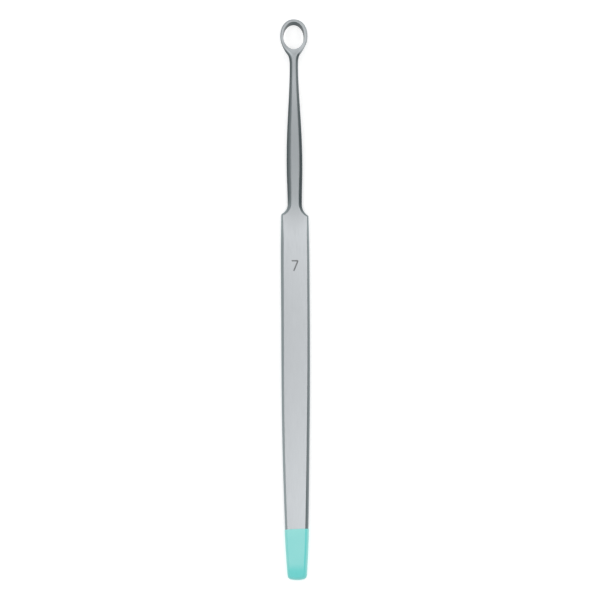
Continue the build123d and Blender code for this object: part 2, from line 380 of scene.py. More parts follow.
class SteelShape:
    """The steel as functions of the place along it, with lengths from the coated end. A skin moves
    every surface out by its thickness, and the side is 0 for the left and 1 for the right."""

    def __init__(self, sizes, skin=0.0, side=1):
        self.sizes = s = sizes
        self.skin = skin
        self.side = side
        coat = bpy.context.scene.curette.coat.thickness
        self.origin_y = COAT_BOX[0].y + coat
        self.origin_z = COAT_BOX[0].z + coat
        inset = (s.shoulder_width - s.waist_width) / 2
        self.waist = s.handle_length + math.sqrt(s.shoulder_radius**2 - (s.shoulder_radius - inset) ** 2)
        self.neck = self.waist + s.waist_to_neck
        self.bend_length = s.bend_radius * s.loop_tilt
        self.loop_centre = self.neck + self.bend_length + s.bend_to_loop
        reach = s.hole_setover + s.hole_length / 2 + s.edge_thickness
        self.neck_height = (
            s.bend_radius * (1 - math.cos(s.loop_tilt))
            + (s.bend_to_loop + reach) * math.sin(s.loop_tilt)
            + s.loop_depth * math.cos(s.loop_tilt)
            - coat
        )

    def shank_mix(self, v, at_waist, at_belly, at_neck):
        """A size that eases from the waist to the belly and on to the neck."""
        s = self.sizes
        along = np.clip(v - self.waist, 0, s.waist_to_neck)
        swell = ease(along / s.waist_to_belly)
        rest = np.maximum(along - s.waist_to_belly, 0) / (s.waist_to_neck - s.waist_to_belly)
        narrowing = ease(rest**s.narrowing_skew)
        return between(between(at_waist, at_belly, swell), at_neck, narrowing)

    def web_share(self, v):
        """How much of the way from the neck to the web's end has been gone."""
        return np.clip((v - self.neck) / (self.loop_centre - WEB_TO_CENTRE - self.neck), 0, 1)

    def half_width(self, v):
        """Half the width of the handle and shank: straight in the middle, arcs towards both ends, and
        a parabola beyond the coat's edge that goes on from the arc's slope."""
        s = self.sizes
        half = s.handle_width / 2
        drop = half - s.coat_edge_width / 2
        length = s.end_taper - s.coat_length
        long_radius = (length**2 + drop**2) / (2 * drop)
        taper = half - arc_sag(long_radius, s.end_taper - v)
        slope = length / math.sqrt(long_radius**2 - length**2)
        run = s.coat_length - s.end_crown
        curve = (s.coat_edge_width / 2 - s.end_width / 2 - slope * run) / run**2
        back = s.coat_length - v
        end = s.coat_edge_width / 2 - slope * back - curve * back**2
        inset = half - s.shoulder_width / 2
        short_radius = (s.shoulder_taper**2 + inset**2) / (2 * inset)
        shoulder = half - arc_sag(short_radius, v - (s.handle_length - s.shoulder_taper))
        shank = self.shank_mix(v, s.waist_width / 2, s.belly_width / 2, s.neck_width / 2)
        return self.skin + np.select(
            [v < s.coat_length, v < s.end_taper, v < s.handle_length - s.shoulder_taper, v < s.handle_length],
            [end, taper, np.full_like(v, half), shoulder],
            shank,
        )

    def front_depth(self, v):
        """How far the front lies under the handle's front plane: an arc down over the end."""
        s = self.sizes
        radius = (s.end_slope**2 + s.end_drop**2) / (2 * s.end_drop)
        steepest = 0.7 * radius
        past = np.clip(s.end_slope - v, 0, steepest)
        return arc_sag(radius, past) - self.skin

    def front_bevel(self, length, corner_length, v):
        """Width of the front's long bevels: the same on both sides at the end's middle, then each
        side's own beyond the corner, with the length along the outline, and on along the handle."""
        s = self.sizes
        start = between(s.handle_bevel, s.coat_bevel[self.side], ease(length / corner_length))
        run = np.clip((v - BEVEL_RUN[0]) / (BEVEL_RUN[1] - BEVEL_RUN[0]), 0, 1)
        return between(start, s.high_bevel[self.side], run)

    def back_depth(self, v):
        """How far the back lies behind the front."""
        s = self.sizes
        shank = self.shank_mix(v, s.handle_thickness, s.belly_thickness, s.neck_thickness)
        return self.skin + between(shank, s.loop_depth, ease(self.web_share(v)))

    def place(self, flat):
        """Bends flat places into space. Each is across, along and deep: the handle bows aside by the
        square of a parabola, the shank climbs on an eased ramp, the neck turns down on an arc and
        twists a little, and the loop goes straight on and leans aside on a hyperbola."""
        s = self.sizes
        across, v, depth = flat[..., 0], flat[..., 1], flat[..., 2]
        turning = coming(v, self.neck, (0.0, self.bend_length + TURN_AFTER))
        onward = np.maximum(v - self.neck - SWAY_START, 0)
        across = across + math.tan(s.loop_sway) * onward**2 / (onward + SWAY_SOFTNESS)
        low = np.clip(v / BOW_LENGTH, 0, 1)
        across = across - s.handle_bow * (4 * low * (1 - low)) ** 2
        twist = s.loop_twist * turning
        across, depth = (
            across * np.cos(twist) - depth * np.sin(twist),
            depth * np.cos(twist) + across * np.sin(twist) - s.twist_lift * turning,
        )
        share = np.clip((v - self.waist) / s.waist_to_neck, 0, 1)
        rise = self.neck_height - s.handle_thickness
        past = np.maximum(v - self.neck, 0)
        turned = np.minimum(past, self.bend_length) / s.bend_radius
        straight = np.maximum(past - self.bend_length, 0)
        climb = np.arctan(rise * 6 * share * (1 - share) / s.waist_to_neck) - turned
        y = np.minimum(v, self.neck) + s.bend_radius * np.sin(turned) + straight * np.cos(turned)
        z = s.handle_thickness + rise * ease(share)
        z = z - s.bend_radius * (1 - np.cos(turned)) - straight * np.sin(turned)
        y = y + depth * np.sin(climb) + self.origin_y
        z = z - depth * np.cos(climb) + self.origin_z
        return np.stack([across, y, z], axis=-1)


def corner_centre(line_x, line_slope, circle, reach, radius, low):
    """The middle of a rounding between a nearly upright line and a circle, found by going back and
    forth between the two. The line's place and slope are given as functions of the height."""
    x, y = 0.0, low
    rounds = 30
    for _ in range(rounds):
        lean = line_slope(y)
        x = line_x(y) - radius * math.sqrt(1 + lean**2)
        y = circle[1] + reach(x)
    return x, y


def end_outline(shape):
    """Right half of the end: a crown arc from the middle, then the rounded corner."""
    s = shape.sizes
    skin = shape.skin
    half = s.end_width / 2
    crown = (half**2 + s.end_crown**2) / (2 * s.end_crown)
    radius = s.end_corner + skin
    big = crown + skin
    step = 0.01 * MM

    def side(v):
        return float(shape.half_width(np.array([v]))[0])

    x, y = corner_centre(
        side,
        lambda v: (side(v + step) - side(v)) / step,
        (0, crown),
        lambda across: -math.sqrt((big - radius) ** 2 - across**2),
        radius,
        s.end_corner,
    )
    lean = (side(y + step) - side(y)) / step
    first = math.atan2(x, crown - y)
    crown_angle = np.linspace(0, first, CROWN_ROWS)[:-1]
    crown_line = np.stack([big * np.sin(crown_angle), crown - big * np.cos(crown_angle)], axis=1)
    turn = np.linspace(first, math.pi / 2 - math.atan(lean), END_CORNER_ROWS)
    corner = np.stack([x + radius * np.sin(turn), y - radius * np.cos(turn)], axis=1)
    return np.concatenate([crown_line, corner])


def shoulder_outline(shape):
    """From the side round the shoulder corner and along the hollow arc to the waist. Also gives how
    far along the corner's arc starts."""
    s = shape.sizes
    middle = (s.waist_width / 2 + s.shoulder_radius, shape.waist)
    radius = s.shoulder_corner
    both = s.shoulder_radius + radius
    hair = 1e-4 * MM

    def side(v):
        return float(shape.half_width(np.array([min(v, s.handle_length - hair)]))[0])

    x, y = corner_centre(
        side,
        lambda v: 0.0,
        middle,
        lambda across: -math.sqrt(both**2 - (across - middle[0]) ** 2),
        radius,
        s.handle_length,
    )
    last = math.atan2(middle[1] - y, middle[0] - x)
    corner_turn = np.linspace(0, last, CORNER_ROWS)
    corner = np.stack([x + radius * np.cos(corner_turn), y + radius * np.sin(corner_turn)], axis=1)
    hollow_turn = np.linspace(last, 0, HOLLOW_ROWS)[1:]
    swing = np.stack([np.cos(hollow_turn), np.sin(hollow_turn)], axis=1)
    hollow = np.array(middle) - s.shoulder_radius * swing
    return np.concatenate([corner, hollow]), y


def oval(width, length, middle, turn):
    """A point on an oval for each turn, from its near end, up the right side, to its far end."""
    return np.stack([width / 2 * np.sin(turn), middle - length / 2 * np.cos(turn)], axis=1)


def loop_oval(sizes, middle, turn):
    """The loop's outside: an ellipse in its near half, and a squarer oval in its far half. Sine and
    cosine are taken to the power of two over the squareness."""
    near = oval(sizes.loop_width, sizes.loop_length, middle, turn)
    power = 2 / sizes.far_squareness
    across = sizes.loop_width / 2 * np.clip(np.sin(turn), 0, 1) ** power
    along = middle + sizes.far_length * np.clip(-np.cos(turn), 0, 1) ** power
    return np.where((turn > math.pi / 2)[:, None], np.stack([across, along], axis=1), near)


def rounded_profile(corners, reaches, straights):
    """Carries a run of corners, each eased by a short curve, along all stations at once.

    Corners are arrays of flat places. Each inner corner gets a quadratic curve that starts and ends
    at its reach, or short of half the way to the next corner, and each straight between two curves
    is divided at the given shares.
    Returns the columns, and for each column how near it lies to the middle of an eased corner.
    """
    columns, nearness = [], []
    start = corners[0]
    most = 0.49
    for index in range(1, len(corners)):
        last = index == len(corners) - 1
        corner = corners[index]
        if last:
            finish = corner
        else:
            before, after = corners[index - 1] - corner, corners[index + 1] - corner
            room = most * np.minimum(np.linalg.norm(before, axis=1), np.linalg.norm(after, axis=1))
            reach = np.minimum(reaches[index - 1], room)[:, None]
            finish = corner + unit(before) * reach
            leave = corner + unit(after) * reach
        for share in straights[index - 1]:
            columns.append(between(start, finish, share))
            nearness.append(0.0)
        if last:
            columns.append(corner)
            nearness.append(0.0)
        else:
            for part in np.linspace(0, 1, EASE_COLUMNS):
                columns.append(finish * (1 - part) ** 2 + corner * 2 * part * (1 - part) + leave * part**2)
                nearness.append(1 - abs(2 * part - 1))
            start = leave
    return np.stack(columns, axis=1), np.array(nearness)


def deep(flat, depth):
    """Adds a depth to places across and along."""
    return np.concatenate([flat, np.broadcast_to(depth, (len(flat),))[:, None]], axis=1)


def grid_faces(rows, columns, first=0):
    """Quads of a grid of points that are counted row by row."""
    numbers = first + np.arange(rows * columns).reshape(rows, columns)
    low, high = numbers[:-1], numbers[1:]
    return np.stack([low[:, :-1], low[:, 1:], high[:, 1:], high[:, :-1]], axis=-1).reshape(-1, 4)


def merged(points, faces, values):
    """Joins points that lie in one place, and drops what has collapsed to a line or a point."""
    same = 1e-5 * MM
    keys = np.round(points / same).astype(np.int64)
    _, kept, number = np.unique(keys, axis=0, return_index=True, return_inverse=True)
    faces = number.reshape(-1)[faces]
    following = np.roll(faces, -1, axis=1)
    distinct = np.sum(faces != following, axis=1)
    whole = faces[distinct == 4]
    cut = faces[distinct == 3]
    keep_corner = cut != np.roll(cut, -1, axis=1)
    triangles = cut[keep_corner].reshape(-1, 3)
    values = {name: value[kept] for name, value in values.items()}
    return points[kept], whole, triangles, values


def linked(name, data):
    """A new object in the scene."""
    made = bpy.data.objects.new(name, data)
    bpy.context.scene.collection.objects.link(made)
    return made


def new_mesh(name, points, faces, values):
    """A smooth mesh object at the origin, with one value a point for each named attribute."""
    points, quads, triangles, values = merged(points, faces, values)
    mesh = bpy.data.meshes.new(name)
    corners = np.concatenate([quads.ravel(), triangles.ravel()]).astype(np.int32)
    counts = np.concatenate([np.full(len(quads), 4), np.full(len(triangles), 3)]).astype(np.int32)
    mesh.vertices.add(len(points))
    mesh.vertices.foreach_set("co", points.astype(np.float32).ravel())
    mesh.loops.add(len(corners))
    mesh.loops.foreach_set("vertex_index", corners)
    mesh.polygons.add(len(counts))
    starts = np.concatenate([[0], np.cumsum(counts)[:-1]]).astype(np.int32)
    mesh.polygons.foreach_set("loop_start", starts)
    mesh.update(calc_edges=True)
    mesh.shade_smooth()
    for label, value in values.items():
        attribute = mesh.attributes.new(label, "FLOAT", "POINT")
        attribute.data.foreach_set("value", value.astype(np.float32))
    if mesh.validate():
        raise RuntimeError(name + " has faces that Blender had to mend")
    return linked(name, mesh)


def inward_of(outline):
    """Directions to the inside of an outline that starts on the middle line and goes up the right."""
    inward = tangents(outline)[:, ::-1] * np.array([-1.0, 1.0])
    inward[0] = (0.0, 1.0)
    return inward


def row_at(v_out, start, end, v):
    """The first row between two others that lies at a place or beyond it."""
    return start + int(np.searchsorted(v_out[start:end], v))


def web_outline(shape):
    """The web's right side: a smooth curve through a few half widths, which meets the loop's oval
    along its slope. Also gives the oval's turn where they meet."""
    s = shape.sizes
    end = shape.loop_centre - LOOP_JOIN - shape.neck
    end_half = s.loop_width / 2 * math.sqrt(1 - (2 * LOOP_JOIN / s.loop_length) ** 2)
    end_slope = LOOP_JOIN / end_half * (s.loop_width / s.loop_length) ** 2
    past_neck = np.linspace(0, end, WEB_ROWS)[1:]
    places, halves = [0, *WEB_PLACES, end], [s.neck_width / 2, *WEB_HALVES, end_half]
    half = through_points(past_neck, places, halves, 0.0, end_slope)
    return np.stack([half, past_neck + shape.neck], axis=1), math.acos(2 * LOOP_JOIN / s.loop_length)


def steel_outline(shape):
    """The right half's outline in six runs: end, side, shoulder, shank, web and loop. Also gives
    how many points there are up to each run's end."""
    end = end_outline(shape)
    shoulder, corner_v = shoulder_outline(shape)
    side_v = np.concatenate(
        [
            np.linspace(end[-1, 1], FAN_END, LOW_ROWS)[1:-1],
            np.linspace(FAN_END, CLOSE_ROWS, HANDLE_ROWS),
            np.linspace(CLOSE_ROWS, corner_v, HIGH_ROWS)[1:-1],
        ]
    )
    shank_v = np.linspace(shape.waist, shape.neck, SHANK_ROWS)[1:]
    side, shank = (np.stack([shape.half_width(v), v], axis=1) for v in (side_v, shank_v))
    web, join_turn = web_outline(shape)
    crowding = 1.1
    loop_turn = math.pi - (math.pi - join_turn) * np.linspace(1, 0, LOOP_ROWS)[1:] ** crowding
    loop = loop_oval(shape.sizes, shape.loop_centre, loop_turn)
    runs = [end, side, shoulder, shank, web, loop]
    outline = np.concatenate(runs)
    outline[[0, -1], 0] = 0.0
    return outline, np.cumsum([len(run) for run in runs])


def middle_line(length, v_out, crotch_v, fan_end, fan, at_neck, crotch):
    """Where each row up to the crotch meets the middle line: straight across from its own end, and
    spread evenly where the rows fan out at the end, the shoulder and the web."""
    rows = np.arange(crotch + 1)
    knots = [0, fan_end, *fan, at_neck, crotch]
    knot_v = [FAN_CENTRE, *v_out[knots[1:-1]], crotch_v - CRISP]
    centre_v = np.interp(length[rows], length[knots], knot_v)
    plain = (rows >= fan_end) & (rows <= at_neck) & ((rows <= fan[0]) | (rows >= fan[1]))
    centre_v[plain] = v_out[rows][plain]
    return np.stack([np.zeros(crotch + 1), centre_v], axis=1)


def hole_lines(shape, turn, crotch):
    """The hole's edge in front and behind, and the directions away from its middle. Its walls lean
    in behind, by the squared sine of the turn between the far wall's lean and the side's, and the
    lean eases in from nothing at the near end."""
    s = shape.sizes
    width = 2 * s.hole_half[shape.side]
    hole = oval(width, s.hole_length, shape.loop_centre + s.hole_setover, turn)
    hole[-1, 0] = 0.0
    outward = unit(np.stack([np.sin(turn) / width, -np.cos(turn) / s.hole_length], axis=1))
    outward[-1] = (0.0, 1.0)
    outward[crotch] = (0.0, -1.0)
    lean = between(s.wall_lean, s.side_lean[shape.side], np.sin(turn) ** 2) * ease(turn / LEAN_TURN)
    return hole, hole - outward * lean[:, None], outward


def edge_widths(shape, length, v_out, marks, at_corner):
    """Widths of the eased edges behind and in front, and how far they are rounded. The front's
    bevels narrow to the shoulder by a power of the way, slowly at first."""
    s = shape.sizes
    at_waist = marks[SHOULDER] - 1
    bevel, corner_bevel = s.handle_bevel, s.shoulder_bevel[shape.side]
    shank_edges = (s.waist_edge, s.belly_edge, s.neck_edge)
    waist_edge, belly_edge, neck_edge = (edge[shape.side] for edge in shank_edges)
    knots = [0, row_at(v_out, marks[END], marks[SIDE], SHOULDER_FAN[0]), at_corner, at_waist]
    edge = np.interp(length, length[knots], [bevel, bevel, corner_bevel, waist_edge])
    edge[at_waist:] = shape.shank_mix(v_out[at_waist:], waist_edge, belly_edge, neck_edge)
    slim_from = length[row_at(v_out, marks[END], marks[SIDE], SLIM_START)]
    power = 1.7
    to_corner = np.clip((length - slim_from) / (length[at_corner] - slim_from), 0, 1) ** power
    front_edge = between(shape.front_bevel(length, length[marks[END] - 1], v_out), corner_bevel, to_corner)
    front_edge[at_corner:] = edge[at_corner:]
    rounding = np.interp(length, length[[0, at_corner, at_waist]], [0.0, 0.0, WAIST_ROUNDING])
    swell = ease(np.maximum(v_out[at_waist:] - shape.waist, 0) / s.waist_to_belly)
    rounding[at_waist:] = between(WAIST_ROUNDING, 1.0, swell)
    return edge, front_edge, rounding


def steel_grid(shape):
    """One side's half of the steel, built on the right, as two grids: the outside from the front's
    middle or the hole's front edge round to the back's, and the wall inside the loop's hole. Also
    gives how near each grid's columns lie to a corner's middle."""
    s = shape.sizes
    outline, marks = steel_outline(shape)
    length, v_out, count = path_length(outline), outline[:, 1], len(outline)
    inward = inward_of(outline)
    inward[-1] = (0.0, -1.0)
    at_corner, at_neck = marks[SIDE] + CORNER_ROWS // 2, marks[SHANK] - 1
    crotch = row_at(v_out, marks[SHOULDER], marks[WEB], shape.loop_centre - CROTCH_ROW)
    crotch_v = shape.loop_centre + s.hole_setover - s.hole_length / 2
    fan_end, fan_start = (row_at(v_out, marks[END], marks[SIDE], v) for v in (FAN_END, SHOULDER_FAN[0]))
    fan = (fan_start, row_at(v_out, marks[SHOULDER], marks[SHANK], SHOULDER_FAN[1]))
    middle = middle_line(length, v_out, crotch_v, fan_end, fan, at_neck, crotch)

    turn = np.zeros(count)
    turn_knots = [length[crotch], length[marks[WEB]], length[-1]]
    turn[crotch:] = np.interp(length[crotch:], turn_knots, [0, LOOP_TURN, math.pi])
    hole, hole_back, outward = hole_lines(shape, turn, crotch)
    inner_front = hole + outward * CRISP
    inner_front[: crotch + 1] = middle
    inner_back = hole_back + outward * SHARP_EASING
    inner_back[: crotch + 1] = middle
    inner_back[crotch] = (0.0, crotch_v - SHARP_EASING)

    edge, front_edge, rounding = edge_widths(shape, length, v_out, marks, at_corner)
    in_web = ease(shape.web_share(v_out))
    in_web[:at_neck] = 0.0
    to_rim = coming(v_out, shape.neck, RIM_CHANGE)
    top_width = between(front_edge * between(1.0, FRONT_WIDTH, rounding), s.rim_bevel, to_rim)
    top_drop = between(edge * between(1.0, FRONT_DROP, rounding), s.rim_drop, to_rim)
    easing = between(between(CRISP, s.edge_softness[shape.side] * edge, rounding), RIM_EASING, to_rim)
    back_width = between(BACK_WIDTH, BACK_WIDTH_IN_WEB, in_web)
    low_width = between(edge * between(1.0, back_width, rounding), WEB_BACK_EDGE[0], in_web)
    low_rise = between(edge * between(1.0, BACK_RISE, rounding), WEB_BACK_EDGE[1], in_web)
    low_easing = between(between(CRISP, BACK_EASING * edge, rounding), WEB_EASING, in_web)

    into_wall = ease((turn - WALL_TURNS[0]) / (WALL_TURNS[1] - WALL_TURNS[0]))
    wall = hole_back + outward * s.edge_thickness
    wall[-1, 0] = 0.0
    top_inner = outline + inward * top_width[:, None]
    low_inner = between(outline + inward * low_width[:, None], wall, into_wall[:, None])
    low_depth = between(shape.back_depth(v_out) - low_rise, s.rim_drop + RIM_SIDE, into_wall)
    corners = [
        deep(inner_front, shape.front_depth(inner_front[:, 1])),
        deep(top_inner, shape.front_depth(top_inner[:, 1])),
        deep(outline, shape.front_depth(v_out) + top_drop),
        deep(outline, low_depth),
        deep(low_inner, shape.back_depth(low_inner[:, 1])),
        deep(inner_back, shape.back_depth(inner_back[:, 1])),
    ]
    low_easing = between(low_easing, SHARP_EASING, into_wall)
    outside, near = rounded_profile(corners, [easing, easing, low_easing, low_easing], STRAIGHTS)

    hole_depths = ((inner_back, s.loop_depth), (hole_back, s.loop_depth), (hole, 0.0))
    hole_corners = [deep(line, depth)[crotch:] for line, depth in hole_depths]
    hole_corners.append(corners[0][crotch:])
    reaches = [np.full(count - crotch, reach) for reach in (SHARP_EASING, CRISP)]
    inside, inner_near = rounded_profile(hole_corners, reaches, [(0.0,), WALL_SHARES, ()])
    return outside, near, inside, inner_near


def column_values(ranks):
    """One value a column: each straight goes from its first value to its second, and each eased
    corner from one straight's last value to the next one's first."""
    values = []
    for index, shares in enumerate(STRAIGHTS):
        first, last = ranks[index]
        values += [between(first, last, part) for part in shares]
        if index < len(STRAIGHTS) - 1:
            values += list(np.linspace(last, ranks[index + 1][0], EASE_COLUMNS))
    return np.array(values + [ranks[-1][1]])


def painted_face_light(shape, finish, flat):
    """Painted light and shade in the satin faces' colour: lower in the handle's middle by a squared
    parabola, lower still on the shank, and higher again on the loop. It grows a little to the right,
    and the darker shank starts later towards the sides, by the squared place across.
    The loop's rim is darker by painted shade towards its ends, by the squared share of a place's
    distance from the loop's centre that lies along, and in its near left quarter, by the squared sine
    of twice the place's angle."""
    s = shape.sizes
    v = flat[..., 1]
    rightward = flat[..., 0] / (s.handle_width / 2) * (1 if shape.side else -1)
    half = (s.handle_length + SHADE_DIP_OVERRUN - s.coat_length) / 2
    hump = np.clip(1 - ((v - s.coat_length - half) / half) ** 2, 0, 1) ** 2
    shank = coming(v - finish.painted_shade_lag * rightward**2, s.handle_length, SHANK_SHADE_CHANGE)
    shank_painted_light = between(finish.shank_painted_light, finish.neck_painted_light, coming(v, shape.neck, NECK_LIGHT_CHANGE))
    tone = (1 - finish.handle_painted_shade * hump) * between(1.0, shank_painted_light, shank)
    across, along = flat[..., 0] / s.loop_width, (v - shape.loop_centre) / s.loop_length
    tiny, crossover = 1e-9, 1 / 3
    apart = across**2 + along**2 + tiny
    far = ease(along / crossover + 0.5)
    rim_painted_shade = along**2 / apart * between(finish.near_painted_shade, finish.far_painted_shade, far)
    if shape.side == 0:
        rim_painted_shade = rim_painted_shade + finish.left_painted_shade * np.where(along < 0, 4 * (across * along / apart) ** 2, 0)
    rim_painted_light = finish.loop_painted_light * (1 - rim_painted_shade)
    painted_brightening = 1 + finish.right_painted_light * rightward * (1 - shank)
    return between(tone, rim_painted_light, coming(v, shape.neck, LOOP_LIGHT_CHANGE)) * painted_brightening


def flank_shade_values(shape, finish, v_out, on_shank, to_loop):
    """Share of the painted flank shade for each row and column: the form of the handle's bevels goes over
    to that of the shank's edges, and both are scaled by what holds at six places along."""
    s = shape.sizes
    outer, inner = finish.bevel_outside[shape.side], finish.shank_inside[shape.side]
    bare = (0.0, 0.0)
    handle = column_values([bare, (1.0, outer), (outer, outer), (outer, 1.0), bare])
    shank = column_values([bare, (inner, 1.0), (1.0, 1.0), (1.0, inner), bare])
    stops = [s.coat_length, s.end_taper, s.handle_length]
    stops += [shape.waist + WAIST_STOP, shape.neck, shape.neck + WEB_STOP]
    along = np.interp(v_out, stops, (finish.left_flank_shade, finish.right_flank_shade)[shape.side])
    along = along * between(1.0, finish.rim_flank_shade[shape.side], to_loop)
    return between(handle[None, :], shank[None, :], on_shank[:, None]) * along[:, None]


def steel_half(shape):
    """Points, faces and values of one side of the steel, built on the right."""
    finish = bpy.context.scene.curette.finish
    outside, near, inside, inner_near = steel_grid(shape)
    rows, columns = outside.shape[:2]
    inner_rows, inner_columns = inside.shape[:2]
    v_out = outside[:, SIDE_COLUMN, 1]
    on_shank = coming(v_out, shape.sizes.handle_length, SHANK_FLANK_CHANGE)
    web_change = (finish.web_start[shape.side], finish.web_fade[shape.side])
    to_loop = coming(v_out, shape.neck, web_change)
    on_flank = column_values([(0.0, 0.0), *[(1.0, 1.0)] * 3, (0.0, 0.0)])
    ground = on_flank[None, :] * between(1.0, finish.rim_ground, to_loop)[:, None]
    # The wall's painted shade starts past the middle of the sharp edge's rounding and ends at the middle
    # of the front edge's
    wall = np.zeros((inner_rows, inner_columns))
    wall[:, EASE_COLUMNS - 1 : -(EASE_COLUMNS // 2 + 1)] = 1.0
    outer = {
        # Painted shade on the flanks and bevels
        "flank_shade": flank_shade_values(shape, finish, v_out, on_shank, to_loop),
        "wear": near[None, :] * between(1.0, finish.shank_wear, on_shank)[:, None],
        "inside": np.zeros((rows, columns)),
        # Painted light and shade along the faces
        "tone": painted_face_light(shape, finish, outside),
        "ground": np.maximum(ground, finish.shank_ground * on_shank[:, None]),
    }
    inner = {
        # Painted shade over the wall inside the loop
        "flank_shade": wall,
        "wear": np.tile(inner_near, (inner_rows, 1)),
        "inside": np.ones(wall.shape),
        "tone": painted_face_light(shape, finish, inside),
        "ground": np.zeros(wall.shape),
    }
    points = np.concatenate([outside.reshape(-1, 3), inside.reshape(-1, 3)])
    faces = np.concatenate([grid_faces(rows, columns), grid_faces(inner_rows, inner_columns, rows * columns)])
    values = {name: np.concatenate([outer[name].ravel(), inner[name].ravel()]) for name in outer}
    return points, faces[:, ::-1], values


def both_sides(halves):
    """Joins a left half, built on the right and mirrored here, and a right half. They share the
    points of the middle plane once the mesh is merged."""
    (points, faces, values), (right_points, right_faces, right_values) = halves
    left_points = points * np.array([-1.0, 1.0, 1.0])
    all_values = {name: np.concatenate([value, right_values[name]]) for name, value in values.items()}
    return (
        np.concatenate([left_points, right_points]),
        np.concatenate([faces[:, ::-1], right_faces + len(points)]),
        all_values,
    )


def steel_surface(sizes):
    """Points, faces and values of the whole steel. The left shoulder is a little higher, by a squared
    parabola of the distance from it."""
    shapes = [SteelShape(sizes, side=side) for side in (0, 1)]
    points, faces, values = both_sides([steel_half(shape) for shape in shapes])
    near_shoulder = np.clip(1 - ((points[:, 1] - sizes.handle_length) / SLANT_REACH) ** 2, 0, 1) ** 2
    points[:, 1] -= sizes.shoulder_slant * near_shoulder * points[:, 0] / (sizes.shoulder_width / 2)
    return shapes[0].place(points), faces, values


def coat_columns(shape, easing):
    """The handle's end as columns from the front's middle round to the back's, up to the coat's
    edge. Also gives how near each column lies to a corner's middle, and how far each row has come
    round the end's corner. A bevel grows by the skin times two less the root of two, as an even
    bevel does when it and the faces beside it all move out by the skin."""
    s = shape.sizes
    end = end_outline(shape)
    crowding = 1.6
    share = np.linspace(0, 1, COAT_ROWS)[1:]
    side_v = between(end[-1, 1], s.coat_length, 1 - (1 - share) ** crowding)
    outline = np.concatenate([end, np.stack([shape.half_width(side_v), side_v], axis=1)])
    outline[0, 0] = 0.0
    length, v_out = path_length(outline), outline[:, 1]
    corner_length = length[len(end) - 1]
    fan_end = row_at(v_out, len(end), len(outline), FAN_END)
    centre_v = np.interp(length, length[[0, fan_end, -1]], [FAN_CENTRE, v_out[fan_end], s.coat_length])
    centre_v[fan_end:] = v_out[fan_end:]
    middle = np.stack([np.zeros(len(outline)), centre_v], axis=1)
    growth = (2 - math.sqrt(2)) * shape.skin
    drop = s.handle_bevel + growth
    inward = inward_of(outline)
    inner = outline + inward * (shape.front_bevel(length, corner_length, v_out) + growth)[:, None]
    total = shape.back_depth(v_out)
    corners = [
        deep(middle, shape.front_depth(centre_v)),
        deep(inner, shape.front_depth(inner[:, 1])),
        deep(outline, shape.front_depth(v_out) + drop),
        deep(outline, total - drop),
        deep(outline + inward * drop, total),
        deep(middle, total),
    ]
    reaches = [np.full(len(outline), easing)] * 4
    return *rounded_profile(corners, reaches, STRAIGHTS), ease(length / corner_length)


def coat_half(steel_sizes, coat, side):
    """One side of the coat, built on the right: an outer skin and an inner one, joined at the edge.

    The outer skin is the handle's own form grown by the coat's thickness. Within a short lip it
    comes down on a quarter round to a thin share of that.
    """
    grown, bare = SteelShape(steel_sizes, coat.thickness, side), SteelShape(steel_sizes, 0.0, side)
    outer, near, round_corner = coat_columns(grown, coat.easing)
    inner = coat_columns(bare, CRISP)[0]
    from_edge = (steel_sizes.coat_length - outer[..., 1]) / coat.lip
    rise = np.sqrt(1 - np.clip(1 - from_edge, 0, 1) ** 2)
    thinnest = 0.12
    outer = between(inner, outer, np.maximum(rise, thinnest)[..., None])
    rows, columns = outer.shape[:2]
    flat = np.concatenate([outer, inner[::-1]])
    # Painted shade: a stripe along the long bevels
    none, shade_stripe = (0.0, 0.0), (1.25, -0.15)
    on_bevel = np.clip(column_values([none, shade_stripe, none, none, none]), 0, 1)
    on_side = column_values([none, (0.0, 1.0), (1.0, 1.0), (1.0, 0.0), none])
    bevel = on_bevel[None, :] * between(coat.bevel_painted_shade[0], coat.bevel_painted_shade[side], round_corner)[:, None]
    # Partly the real thin lip at the coat's edge, partly painted light on the sides
    thin = np.maximum((1 - rise) / 2, on_side[None, :])
    values = {
        "wear": np.tile(near, (2 * rows, 1)).ravel(),
        "thin": np.concatenate([thin, np.zeros_like(rise)]).ravel(),
        "along": flat[..., 1].ravel(),
        "bevel": np.concatenate([bevel, bevel[::-1]]).ravel(),
    }
    return flat.reshape(-1, 3), grid_faces(2 * rows, columns)[:, ::-1], values


def coat_surface(steel_sizes, coat):
    """Points, faces and values of the whole coat. Its edge runs a little out of square and hangs
    back at both sides by a fourth power of the place across."""
    points, faces, values = both_sides([coat_half(steel_sizes, coat, side) for side in (0, 1)])
    across = points[:, 0] / (steel_sizes.coat_edge_width / 2)
    slant = coat.edge_slant / 2 * across * ease(points[:, 1] / steel_sizes.coat_length)
    near_edge = coming(points[:, 1], steel_sizes.coat_length, (-HANG_REACH, HANG_REACH))
    points[:, 1] += slant - coat.edge_hang * np.clip(across**4, 0, 1) * near_edge
    return SteelShape(steel_sizes).place(points), faces, values


def stroke_line(sizes):
    """The middle line of a seven: a bar with a small round at its right end, then a slanting leg."""
    bend_share, foot_share = 0.12, -0.22
    bar_rows, bend_rows, leg_rows = 7, 9, 15
    half, top = sizes.width / 2, sizes.height / 2
    bend = bend_share * sizes.width
    foot = np.array([foot_share * sizes.width, -top])
    corner = np.array([half, top])
    leg = unit(foot - corner)
    t = np.linspace(0, 1, bend_rows)[:, None]
    before, after = corner - np.array([bend, 0.0]), corner + leg * bend
    turn = before * (1 - t) ** 2 + corner * 2 * t * (1 - t) + after * t**2
    bar = between(np.array([-half, top]), before, np.linspace(0, 1, bar_rows)[:-1, None])
    down = between(after, foot, np.linspace(0, 1, leg_rows)[1:, None])
    return np.concatenate([bar, turn, down])


